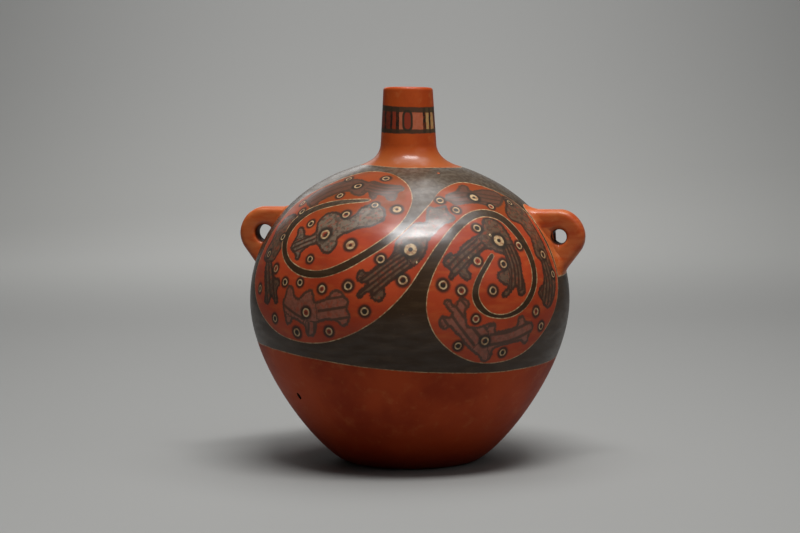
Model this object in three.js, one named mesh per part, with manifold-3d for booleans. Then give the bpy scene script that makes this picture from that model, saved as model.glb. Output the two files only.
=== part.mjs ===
// A globular jar of slip-painted, burnished earthenware: a round body on a small flat foot, a narrow
// upright neck and two pierced lugs for a carrying cord. The potter raised it from separate pieces of
// clay and luted them together with thin coils, and each of those pieces is one mesh here.
// Millimetres, +Z up. The origin is the middle of the foot, and the lugs lie on the X axis.

import * as THREE from 'three';
import { LoftGeometry } from 'three/addons/geometries/LoftGeometry.js';
import { mergeVertices } from 'three/addons/utils/BufferGeometryUtils.js';
import Module from 'manifold-3d';

// Body
const footRadius = 40;
const footSweep = 14;
const bellyRadius = 102.8;
const bellyHeight = 104;
const swellBelow = 45.5;
const swellAbove = 53.5;
const domeRise = 90.6;
const crownSweep = 43.8;
const crownSlope = THREE.MathUtils.degToRad(8.6);
const wallThickness = 6.5;
const floorThickness = 8;
const dishDepth = 34;
const scarfLength = 5;

// Small blind pit in the lower wall
const pitRadius = 2;
const pitDepth = 4.5;
const pitHeight = 47;
const pitBearing = THREE.MathUtils.degToRad(-44);

// Neck
const neckBoreRadius = 11.5;
const neckFootRadius = 17.8;
const lipRadius = 16.4;
const neckLength = 45.4;
const lipRound = 2.2;

// Coil luted round the foot of the neck
const neckCoilRadius = 32;
const neckCoilRise = 10.5;
const neckCoilFootSweep = 9;
const neckCoilNeckSweep = 8.5;

// Lugs
const eyeRise = 41.5;
const eyeRadius = 5;
const eyeMouthRound = 2;
const eyeWebWidth = 2;
const lugRingWidth = 10;
const lugCrownWidth = 12;
const lugThickness = 13.5;
const lugRootSwell = 2;
const lugRootDrop = 28.5;
const lugRootBite = 3;
const lugRoundness = 2.8;

// Coils luted round the roots of the lugs
const lugCoilReach = 6;
const lugCoilSpread = 4.5;

// Clearances and thin edges
const lutingGap = 0.3;
const coilEdge = 0.5;

// Facets
const bodySides = 48;
const neckSides = 32;
const eyeSides = 24;
const pitSides = 12;
const lugColumns = 28;
const wallSteps = 8;
const domeSteps = 12;
const bodySteps = 40;
const roundSteps = 3;
const coilFootSteps = 3;
const flareSteps = 7;
const lugRootSteps = 4;
const lugRingSteps = 9;
const hollowSteps = 4;
const seamTolerance = 1e-3;

const slip = {
  red: { color: 0x6a2412, roughness: 0.38, metalness: 0 },
  black: { color: 0x332a22, roughness: 0.34, metalness: 0 },
  orange: { color: 0x8f3c17, roughness: 0.34, metalness: 0 },
};

const wasm = await Module();
wasm.setup();

// Closed geometry as a solid that can be joined and cut.
function solidOf(geometry) {
  const bare = new THREE.BufferGeometry().copy(geometry);
  bare.deleteAttribute('normal');
  bare.deleteAttribute('uv');
  const merged = mergeVertices(bare, seamTolerance);
  return new wasm.Manifold(new wasm.Mesh({
    numProp: 3,
    vertProperties: Float32Array.from(merged.attributes.position.array),
    triVerts: Uint32Array.from(merged.index.array),
  }));
}

// Solid back as a geometry.
function geometryOf(solid) {
  const mesh = solid.getMesh();
  const geometry = new THREE.BufferGeometry();
  geometry.setAttribute('position', new THREE.BufferAttribute(mesh.vertProperties, mesh.numProp));
  geometry.setIndex(new THREE.BufferAttribute(mesh.triVerts, 1));
  geometry.computeVertexNormals();
  return geometry;
}

// Profile of radius and height turned about the Z axis, outer side upwards and inner side downwards.
function turned(profile, sides) {
  return new THREE.LatheGeometry(profile, sides).rotateX(Math.PI / 2);
}

// The same for a profile that closes on itself.
function turnedRing(profile, sides) {
  return turned([...profile, profile[0]], sides);
}

function evenSteps(from, to, steps) {
  return Array.from({ length: steps + 1 }, (_, i) => THREE.MathUtils.lerp(from, to, i / steps));
}

// Value between low and high where a rising function crosses zero.
function crossing(rising, low, high) {
  for (let i = 0; i < 40; i += 1) {
    const middle = (low + high) / 2;
    if (rising(middle) < 0) low = middle;
    else high = middle;
  }
  return (low + high) / 2;
}

// Outer meridian of the body, from the foot over the belly to the hole under the neck.
const crownHeight = bellyHeight + domeRise;
const lowerMeridian = new THREE.CubicBezierCurve(
  new THREE.Vector2(footRadius, 0),
  new THREE.Vector2(footRadius + footSweep, 0),
  new THREE.Vector2(bellyRadius, bellyHeight - swellBelow),
  new THREE.Vector2(bellyRadius, bellyHeight),
);
const domeMeridian = new THREE.CubicBezierCurve(
  new THREE.Vector2(bellyRadius, bellyHeight),
  new THREE.Vector2(bellyRadius, bellyHeight + swellAbove),
  new THREE.Vector2(
    neckBoreRadius + crownSweep * Math.cos(crownSlope),
    crownHeight - crownSweep * Math.sin(crownSlope),
  ),
  new THREE.Vector2(neckBoreRadius, crownHeight),
);
const meridian = new THREE.CurvePath();
meridian.add(lowerMeridian);
meridian.add(domeMeridian);
const meridianLength = meridian.getLength();
const bellySeam = lowerMeridian.getLength();

// Point at a distance along the meridian, moved outwards along its normal.
function meridianPoint(distance, outwards = 0) {
  const share = THREE.MathUtils.clamp(distance / meridianLength, 0, 1);
  const point = meridian.getPoint(share);
  const tangent = meridian.getTangent(share);
  return new THREE.Vector2(point.x + tangent.y * outwards, point.y - tangent.x * outwards);
}

// Distance along the meridian to a height, or to a radius on the dome.
function distanceToHeight(height, outwards = 0) {
  return crossing((distance) => meridianPoint(distance, outwards).y - height, 0, meridianLength);
}

function distanceToRadius(radius, outwards = 0) {
  return crossing((distance) => radius - meridianPoint(distance, outwards).x, bellySeam, meridianLength);
}

function bodyRadiusAt(height, outwards = 0) {
  return meridianPoint(distanceToHeight(height, outwards), outwards).x;
}

// Inside of the wall, no lower than the floor and no narrower than the hole under the neck.
function innerPoint(distance) {
  const point = meridianPoint(distance, -wallThickness);
  point.set(Math.max(point.x, neckBoreRadius), Math.max(point.y, floorThickness));
  return point;
}

// Wall between two seams. Each seam is scarfed: it leans upwards from the outside to the inside.
function wallProfile(from, to, innerFrom, innerTo, steps) {
  return [
    ...evenSteps(from, to, steps).map((distance) => meridianPoint(distance)),
    ...evenSteps(innerTo, innerFrom, steps).map(innerPoint),
  ];
}

const dishSeam = distanceToHeight(dishDepth);

function baseDish() {
  const end = dishSeam - lutingGap / 2;
  const profile = wallProfile(0, end, 0, end + scarfLength, wallSteps);
  return turned([
    new THREE.Vector2(0, 0),
    ...profile,
    new THREE.Vector2(0, floorThickness),
  ], bodySides);
}

function lowerWall() {
  const start = dishSeam + lutingGap / 2;
  const end = bellySeam - lutingGap / 2;
  const wall = solidOf(turnedRing(
    wallProfile(start, end, start + scarfLength, end + scarfLength, wallSteps),
    bodySides,
  ));
  const mouth = distanceToHeight(pitHeight);
  const axis = new THREE.Line3();
  [[axis.start, -pitDepth], [axis.end, pitDepth]].forEach(([corner, outwards]) => {
    const point = meridianPoint(mouth, outwards);
    corner.set(point.x * Math.sin(pitBearing), -point.x * Math.cos(pitBearing), point.y);
  });
  const drill = new THREE.CylinderGeometry(pitRadius, pitRadius, axis.distance(), pitSides);
  const along = axis.delta(new THREE.Vector3()).normalize();
  drill.applyQuaternion(new THREE.Quaternion().setFromUnitVectors(new THREE.Vector3(0, 1, 0), along));
  drill.translate(...axis.getCenter(new THREE.Vector3()));
  return geometryOf(wall.subtract(solidOf(drill)));
}

function shoulderDome() {
  const start = bellySeam + lutingGap / 2;
  const profile = wallProfile(start, meridianLength, start + scarfLength, meridianLength, domeSteps);
  return turnedRing(profile, bodySides);
}

// Outside of the neck: a slight taper from its foot to the lip.
const rimHeight = crownHeight + neckLength;
const neckCoilTop = crownHeight + neckCoilRise;

function neckRadiusAt(height) {
  return THREE.MathUtils.mapLinear(height, neckCoilTop, rimHeight, neckFootRadius, lipRadius);
}

// The coil lies in a shallow rebate round the foot of the neck, so that the two are flush above it.
const rebateRadius = neckFootRadius - lutingGap - coilEdge;

// Neck standing on the dome, with a rounded lip.
function neckTube() {
  const round = Math.min(lipRound, (lipRadius - neckBoreRadius) / 2);
  const footEdge = meridianPoint(distanceToRadius(rebateRadius, lutingGap), lutingGap);
  const footBore = meridianPoint(meridianLength, lutingGap);
  const quarter = evenSteps(0, Math.PI / 2, roundSteps);
  const shoulderOfLip = rimHeight - round;
  return turnedRing([
    new THREE.Vector2(neckBoreRadius, footBore.y),
    footEdge,
    new THREE.Vector2(rebateRadius, neckCoilTop + lutingGap),
    new THREE.Vector2(neckRadiusAt(neckCoilTop + lutingGap), neckCoilTop + lutingGap),
    ...quarter.map((turn) => new THREE.Vector2(
      lipRadius - round + round * Math.cos(turn),
      shoulderOfLip + round * Math.sin(turn),
    )),
    ...quarter.map((turn) => new THREE.Vector2(
      neckBoreRadius + round - round * Math.sin(turn),
      shoulderOfLip + round * Math.cos(turn),
    )),
  ], neckSides);
}

// Coil smoothed into a concave flare between the neck and the dome.
function neckLutingCoil() {
  const rim = distanceToRadius(neckCoilRadius);
  const neckSide = rebateRadius + lutingGap;
  const foot = distanceToRadius(neckSide);
  const uphill = meridianPoint(rim, 0).sub(meridianPoint(rim - coilEdge, 0)).normalize();
  const rimTop = meridianPoint(rim, lutingGap + coilEdge);
  const top = new THREE.Vector2(neckFootRadius, neckCoilTop);
  const flare = new THREE.CubicBezierCurve(
    rimTop,
    rimTop.clone().addScaledVector(uphill, neckCoilFootSweep),
    top.clone().setY(top.y - neckCoilNeckSweep),
    top,
  );
  return turnedRing([
    ...evenSteps(foot, rim, coilFootSteps).map((distance) => meridianPoint(distance, lutingGap)),
    ...flare.getPoints(flareSteps),
    new THREE.Vector2(neckSide, neckCoilTop),
  ], neckSides);
}

// Lug on the +X side, seen from the side: a ring about the eye that is thicker above, a level top and a
// slanting underside.
const eyeHeight = bellyHeight + eyeRise;
const eyeReach = bodyRadiusAt(eyeHeight) + eyeWebWidth + eyeRadius;
const ringRadius = eyeRadius + lugRingWidth;
const crownRadius = eyeRadius + lugCrownWidth;
const lugTop = eyeHeight + crownRadius;
const lugTip = eyeReach + ringRadius;
const rootHeight = eyeHeight - lugRootDrop;
const rootLow = new THREE.Vector2(bodyRadiusAt(rootHeight) - lugRootBite, rootHeight);
const lugStart = bodyRadiusAt(lugTop) - lugThickness;

// Where the slanting underside touches the ring.
const eyeCentre = new THREE.Vector2(eyeReach, eyeHeight);
const toRoot = rootLow.clone().sub(eyeCentre);
const touchAngle = toRoot.angle() + Math.acos(ringRadius / toRoot.length());
const touch = new THREE.Vector2(ringRadius, 0).rotateAround(new THREE.Vector2(), touchAngle).add(eyeCentre);

// Share of the ring's height that is left at a reach past the eye: 1 over the eye, 0 at the tip.
function ringShare(reach) {
  return Math.sqrt(Math.max(1 - ((reach - eyeReach) / ringRadius) ** 2, 0));
}

function lugTopAt(reach) {
  return reach < eyeReach ? lugTop : eyeHeight + crownRadius * ringShare(reach);
}

function lugBottomAt(reach) {
  if (reach > touch.x) return eyeHeight - ringRadius * ringShare(reach);
  return Math.max(THREE.MathUtils.mapLinear(reach, rootLow.x, touch.x, rootLow.y, touch.y), rootLow.y);
}

// Half the lug's thickness: swelling towards the root, rounding off towards the tip.
function lugHalfWidthAt(reach) {
  if (reach > eyeReach) return (lugThickness / 2) * Math.sqrt(ringShare(reach));
  const inwards = (eyeReach - reach) / (eyeReach - lugStart);
  return lugThickness / 2 + lugRootSwell * inwards ** 2;
}

function rounded(value) {
  return Math.sign(value) * Math.abs(value) ** (2 / lugRoundness);
}

// Point of the lug's skin at a reach from the jar's axis and a turn about its section.
function lugPoint(reach, turn, outwards = 0) {
  const top = lugTopAt(reach);
  const bottom = lugBottomAt(reach);
  return new THREE.Vector3(
    reach,
    (lugHalfWidthAt(reach) + outwards) * rounded(Math.cos(turn)),
    (top + bottom) / 2 + ((top - bottom) / 2 + outwards) * rounded(Math.sin(turn)),
  );
}

function turnsOfSection(columns) {
  return evenSteps(0, 2 * Math.PI, columns).slice(0, -1);
}

// The lug is lofted from inside the wall to its tip, trimmed to the wall and pierced.
function lug() {
  const reaches = [
    ...evenSteps(lugStart, eyeReach, lugRootSteps).slice(0, -1),
    ...evenSteps(0, Math.PI / 2, lugRingSteps).map((turn) => eyeReach + ringRadius * Math.sin(turn)),
  ];
  const sections = reaches.map((reach) => turnsOfSection(lugColumns).map((turn) => lugPoint(reach, turn)));
  const body = turned([
    new THREE.Vector2(0, -lutingGap),
    ...evenSteps(0, meridianLength, bodySteps).map((distance) => meridianPoint(distance, lutingGap)),
    new THREE.Vector2(0, crownHeight + lutingGap),
  ], bodySides);
  const loft = new LoftGeometry(sections, { capStart: true });
  return geometryOf(solidOf(loft).subtract(solidOf(body)).subtract(solidOf(eyeBore())));
}

// Bore of the eye along Y, with a rounded mouth at each face of the lug.
function eyeBore() {
  const face = lugThickness / 2;
  const past = face + lugThickness;
  const mouth = eyeRadius + eyeMouthRound;
  const quarter = evenSteps(0, Math.PI / 2, roundSteps);
  const upperMouth = quarter.map((turn) => new THREE.Vector2(
    mouth - eyeMouthRound * Math.cos(turn),
    face - eyeMouthRound + eyeMouthRound * Math.sin(turn),
  ));
  const lowerMouth = upperMouth.map((point) => new THREE.Vector2(point.x, -point.y)).reverse();
  const profile = [
    new THREE.Vector2(0, -past),
    new THREE.Vector2(mouth, -past),
    ...lowerMouth,
    ...upperMouth,
    new THREE.Vector2(mouth, past),
    new THREE.Vector2(0, past),
  ];
  return new THREE.LatheGeometry(profile, eyeSides).translate(eyeReach, 0, eyeHeight);
}

// Direction across and up that leads straight away from the lug's section.
function awayFromLug(reach, turn) {
  const steep = (value) => Math.sign(value) * Math.abs(value) ** (2 - 2 / lugRoundness);
  const halfHeight = (lugTopAt(reach) - lugBottomAt(reach)) / 2;
  return new THREE.Vector2(
    steep(Math.cos(turn)) / lugHalfWidthAt(reach),
    steep(Math.sin(turn)) / halfHeight,
  );
}

// Point of the wall's skin beside the lug, at a place across and up.
function wallPoint(place, outwards) {
  const radius = bodyRadiusAt(place.y, outwards);
  return new THREE.Vector3(Math.sqrt(radius ** 2 - place.x ** 2), place.x, place.y);
}

// Coil smoothed into the corner between the lug and the wall, swept round the lug's root.
// It reaches furthest along the lug above and below, and keeps clear of the eye at the sides.
function lugLutingCoil() {
  const sideReach = eyeWebWidth - lutingGap;
  const sections = turnsOfSection(lugColumns).map((turn) => {
    const offWall = (reach) => {
      const point = lugPoint(reach, turn, lutingGap);
      return Math.hypot(point.x, point.y) - bodyRadiusAt(point.z, lutingGap);
    };
    const root = crossing(offWall, lugStart, lugTip);
    const corner = lugPoint(root, turn, lutingGap);
    const slope = lugPoint(root + coilEdge, turn, lutingGap).distanceTo(corner) / coilEdge;
    const reach = THREE.MathUtils.lerp(sideReach, lugCoilReach, Math.sin(turn) ** 2) / slope;
    const edge = awayFromLug(root, turn).setLength(lugCoilSpread);
    edge.add(new THREE.Vector2(corner.y, corner.z));
    const hollow = new THREE.QuadraticBezierCurve3(
      lugPoint(root + reach, turn, lutingGap + coilEdge),
      lugPoint(root + coilEdge, turn, lutingGap + coilEdge),
      wallPoint(edge, lutingGap + coilEdge),
    );
    return [
      corner,
      lugPoint(root + reach, turn, lutingGap),
      ...hollow.getPoints(hollowSteps),
      wallPoint(edge, lutingGap),
    ];
  });
  return geometryOf(solidOf(new LoftGeometry([...sections, sections[0]])));
}

function piece(name, geometry, finish) {
  const mesh = new THREE.Mesh(geometry, new THREE.MeshStandardMaterial(finish));
  mesh.name = name;
  return mesh;
}

const jar = new THREE.Group();
jar.add(
  piece('base_dish', baseDish(), slip.red),
  piece('lower_wall', lowerWall(), slip.red),
  piece('shoulder_dome', shoulderDome(), slip.black),
  piece('neck_tube', neckTube(), slip.orange),
  piece('neck_luting_coil', neckLutingCoil(), slip.orange),
);

for (const [side, bearing] of [['right', 0], ['left', Math.PI]]) {
  const ear = new THREE.Group();
  ear.rotation.z = bearing;
  ear.add(
    piece(`${side}_lug`, lug(), slip.orange),
    piece(`${side}_lug_luting_coil`, lugLutingCoil(), slip.orange),
  );
  jar.add(ear);
}

export default jar;
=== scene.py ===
# Looks of a globular jar: burnished earthenware with a slip-painted shoulder, a narrow neck and two lugs
import math

import bmesh
import bpy
import numpy as np
from mathutils import Matrix, Vector, kdtree
from mathutils.bvhtree import BVHTree


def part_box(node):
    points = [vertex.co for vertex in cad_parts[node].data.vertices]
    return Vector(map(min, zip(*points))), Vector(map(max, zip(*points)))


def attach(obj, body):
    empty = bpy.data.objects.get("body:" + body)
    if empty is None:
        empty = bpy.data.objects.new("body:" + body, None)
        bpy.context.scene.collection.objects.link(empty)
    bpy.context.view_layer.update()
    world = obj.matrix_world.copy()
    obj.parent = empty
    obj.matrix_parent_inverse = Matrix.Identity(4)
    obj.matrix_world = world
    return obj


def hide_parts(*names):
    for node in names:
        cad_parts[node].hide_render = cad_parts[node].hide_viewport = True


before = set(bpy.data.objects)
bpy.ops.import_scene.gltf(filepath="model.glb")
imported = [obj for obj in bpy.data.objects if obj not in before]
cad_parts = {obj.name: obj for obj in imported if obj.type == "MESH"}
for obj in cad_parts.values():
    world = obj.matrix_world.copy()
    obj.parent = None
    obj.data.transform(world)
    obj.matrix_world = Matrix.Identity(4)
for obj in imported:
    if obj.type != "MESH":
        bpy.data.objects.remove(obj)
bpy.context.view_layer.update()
scene = bpy.context.scene
mm = 0.001    # lengths below are millimetres unless a note says otherwise


def boxOf(node):
    low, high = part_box(node)
    return low / mm, high / mm


def direction(bearing, elevation=0.0):
    # degrees round the jar from its front, and up from level
    turn = math.radians(bearing)
    lift = math.radians(elevation)
    return Vector((math.sin(turn) * math.cos(lift), -math.cos(turn) * math.cos(lift), math.sin(lift)))


# Camera of the photograph. The frame is taken to be 800 by 533 pixels.
view = {
    "frameWidth": 800,
    "bearing": 13.0,         # degrees round the jar from its front
    "distance": 1950.0,
    "height": 330.0,
    "pitch": 5.997,          # degrees down
    "roll": 0.5,             # degrees, the jar leans left in the frame
    "focal": 3045.0,         # pixels
    "middleX": 409.6,
    "middleY": 266.5,
    "sensor": 36.0,
    "clipEnd": 50.0,         # metres
    "rayNear": 1.6,          # radii of the belly before the axis where a pixel's ray is first tried
    "rayFar": 0.6,           # and behind it where it is last tried
    "raySteps": 3000,
}


def cameraTurn():
    turn = Matrix.Rotation(math.radians(view["bearing"]), 3, "Z")
    tilt = Matrix.Rotation(math.pi / 2 - math.radians(view["pitch"]), 3, "X")
    lean = Matrix.Rotation(-math.radians(view["roll"]), 3, "Z")
    return turn @ tilt @ lean


def cameraPlace():
    return direction(view["bearing"]) * view["distance"] + Vector((0, 0, view["height"]))


def makeCamera():
    lens = bpy.data.cameras.new("camera")
    lens.sensor_fit = "HORIZONTAL"
    lens.sensor_width = view["sensor"]
    lens.lens = view["focal"] / view["frameWidth"] * view["sensor"]
    lens.shift_x = 0.5 - view["middleX"] / view["frameWidth"]
    lens.clip_end = view["clipEnd"]
    camera = bpy.data.objects.new("camera", lens)
    camera.matrix_world = Matrix.Translation(cameraPlace() * mm) @ cameraTurn().to_4x4()
    scene.collection.objects.link(camera)
    scene.camera = camera


makeCamera()
print("camera set")

# Body of revolution
domeLow, domeHigh = boxOf("shoulder_dome")
seamGap = 0.3
body = {
    "bellyRadius": domeHigh.x,
    "bellyHeight": domeLow.z - seamGap / 2,
    "crownHeight": domeHigh.z,
    "footRadius": 40.0,
    "footSweep": 14.0,
    "swellBelow": 45.5,
    "swellAbove": 53.5,
    "crownSweep": 43.8,
    "crownSlope": 8.6,       # degrees
    "boreRadius": 11.5,
    "wall": 6.5,
    "floor": 8.0,
    "dishSeam": 34.0,
    "scarf": 5.0,
    "clayDepth": 0.4,        # share of the wall's thickness under which the clay is bare
    "flareWider": 1.0,       # how far the flare's rim lies outside the CAD's
    "underFlare": 2.0,       # how far fine rows go on under the flare
    "columns": 576,
    "rowStep": 1.1,
    "hiddenStep": 5.0,
    "underRows": 11,
}


def bezier(corners, count):
    t = np.linspace(0.0, 1.0, count)[:, None]
    a, b, c, d = (np.array(corner, float) for corner in corners)
    return a * (1 - t) ** 3 + 3 * b * t * (1 - t) ** 2 + 3 * c * t ** 2 * (1 - t) + d * t ** 3


def makeMeridian(count=500):
    girth = (body["bellyRadius"], body["bellyHeight"])
    slope = math.radians(body["crownSlope"])
    crown = np.array((body["boreRadius"], body["crownHeight"]))
    lower = bezier((
        (body["footRadius"], 0),
        (body["footRadius"] + body["footSweep"], 0),
        (girth[0], girth[1] - body["swellBelow"]),
        girth,
    ), count)
    dome = bezier((
        girth,
        (girth[0], girth[1] + body["swellAbove"]),
        crown + body["crownSweep"] * np.array((math.cos(slope), -math.sin(slope))),
        crown,
    ), count)
    points = np.vstack((lower, dome[1:]))
    along = np.concatenate(([0.0], np.cumsum(np.hypot(*np.diff(points, axis=0).T))))
    return points, along - along[count - 1]


meridian, climbs = makeMeridian()    # climbs: distance up the wall from the widest girth
tangents = np.gradient(meridian, climbs, axis=0)
tangents /= np.linalg.norm(tangents, axis=1)[:, None]


def followed(curve, climb):
    return (np.interp(climb, climbs, curve[:, i]) for i in (0, 1))


def wallAt(climb, outwards=0.0):
    radius, height = followed(meridian, climb)
    inward, upward = followed(tangents, climb)
    return np.stack((radius + upward * outwards, height - inward * outwards), axis=-1)


def innerAt(climb):
    points = wallAt(climb, -body["wall"])
    return np.maximum(points, (body["boreRadius"], body["floor"]))


def climbTo(height):
    return np.interp(height, meridian[:, 1], climbs)


def radiusAt(height):
    return np.interp(height, meridian[:, 1], meridian[:, 0])


def turnOf(points):
    return np.arctan2(points[..., 0], -points[..., 1])


def placesOf(points):
    # bearing in degrees and climb
    return np.stack((np.degrees(turnOf(points)), climbTo(points[..., 2])), axis=-1)


def offWall(points):
    # how far outside the body's surface, measured level
    return np.hypot(points[..., 0], points[..., 1]) - radiusAt(points[..., 2])


swelling = {"depth": 1.5, "climb": 85.0, "reach": 45.0, "bearing": -80.0}    # the left shoulder is fuller


def swellAt(points):
    # how far each point moves, along the wall's normal
    turn = turnOf(points)
    climb = climbTo(points[..., 2])
    fade = np.exp(-((climb - swelling["climb"]) / swelling["reach"]) ** 2)
    depth = swelling["depth"] * fade * np.maximum(np.cos(turn - math.radians(swelling["bearing"])), 0)
    inward, upward = followed(tangents, climb)
    out = depth * upward
    return np.stack((out * np.sin(turn), -out * np.cos(turn), -depth * inward), axis=-1)


def evenSteps(start, end, step):
    return np.linspace(start, end, max(2, round(abs(end - start) / step) + 1))


def onBody(bearing, climb):
    radius, height = wallAt(climb).T
    turn = np.radians(bearing)
    return np.stack((radius * np.sin(turn), -radius * np.cos(turn), height), axis=-1)


# Ornament, read off the photograph: each pair is a pixel of its 800 by 533 frame
scrollPixels = [
    # left lobe, over its top and round to the bottom
    (412, 196), (405, 182), (390.5, 173.5), (370, 171.5), (348, 176.7), (324, 186.7), (300, 200.5),
    (279.5, 222), (265.5, 246), (256, 273), (255.5, 293), (261.5, 313), (277, 332), (299, 341.5),
    (324, 342.5), (348, 335.5), (370, 324), (390, 308), (408, 288.5), (422, 267.5), (436, 246.5),
    # outer edge of the lower hook, to its tip
    (451, 227.5), (466, 214), (482, 209.5), (499, 213.5), (515, 226.5), (528, 245.5), (536, 268),
    (536, 288), (527, 306.5), (511, 317), (494, 318), (480, 311.5), (472.5, 299), (473.5, 285.5),
    (480, 271), (490, 254.5),
    # inner edge of the lower hook
    (494, 256), (489.5, 265), (482.5, 278), (478.6, 292), (482.5, 304.5), (493, 313.2), (508, 313.2),
    (522, 304), (531, 287), (531.5, 270), (524.5, 250), (512, 232.5), (499, 220.5), (484, 216.8),
    (470, 222), (455, 236.8), (440, 261), (430, 284),
    # right lobe, under its bottom and round to the top
    (426.5, 304), (429.5, 323), (439, 340), (456, 354.5), (477, 362.5), (500, 362), (521, 354), (537, 340),
    (550, 320.5), (557, 299), (557.3, 277), (551, 255), (540.5, 233), (526, 212), (505, 196), (480, 185.5),
    (459, 182.5), (441.5, 190),
    # lower edge of the upper hook, to its tip
    (429, 205), (413.5, 222), (393, 241), (366, 258.5), (341, 272), (317, 278), (297, 274), (284, 259.5),
    (283, 240), (292.5, 221.5), (311, 208), (337, 200.5), (367, 199),
    # upper edge of the upper hook
    (367, 201.5), (341, 204.5), (315, 211.5), (297.5, 224), (288, 240), (289, 257), (302, 268), (322, 270),
    (345, 261.5), (371, 246.5), (393, 230.5), (407, 214),
]
lowerLinePixels = [(260.5, 343.6), (272, 348.5), (285, 352.1), (325, 360.9), (370, 368), (430, 372.5),
                   (490, 372.5), (525, 368), (553, 359)]
# Bearing and climb where the photograph can't see
lowerLineBack = [(130, -34.0), (180, -30.5), (235, -28.5)]
neckLinePixels = [(359.9, 164.6), (373, 165.2), (388.3, 166.8), (403.6, 167.7), (426.5, 167.7), (445, 167.6),
                  (462, 167)]
neckLineBack = [(130, 119.5), (180, 119.5), (235, 119.5)]

tones = {"ink": 0.0, "ash": 0.5, "plum": 1.0}
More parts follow.
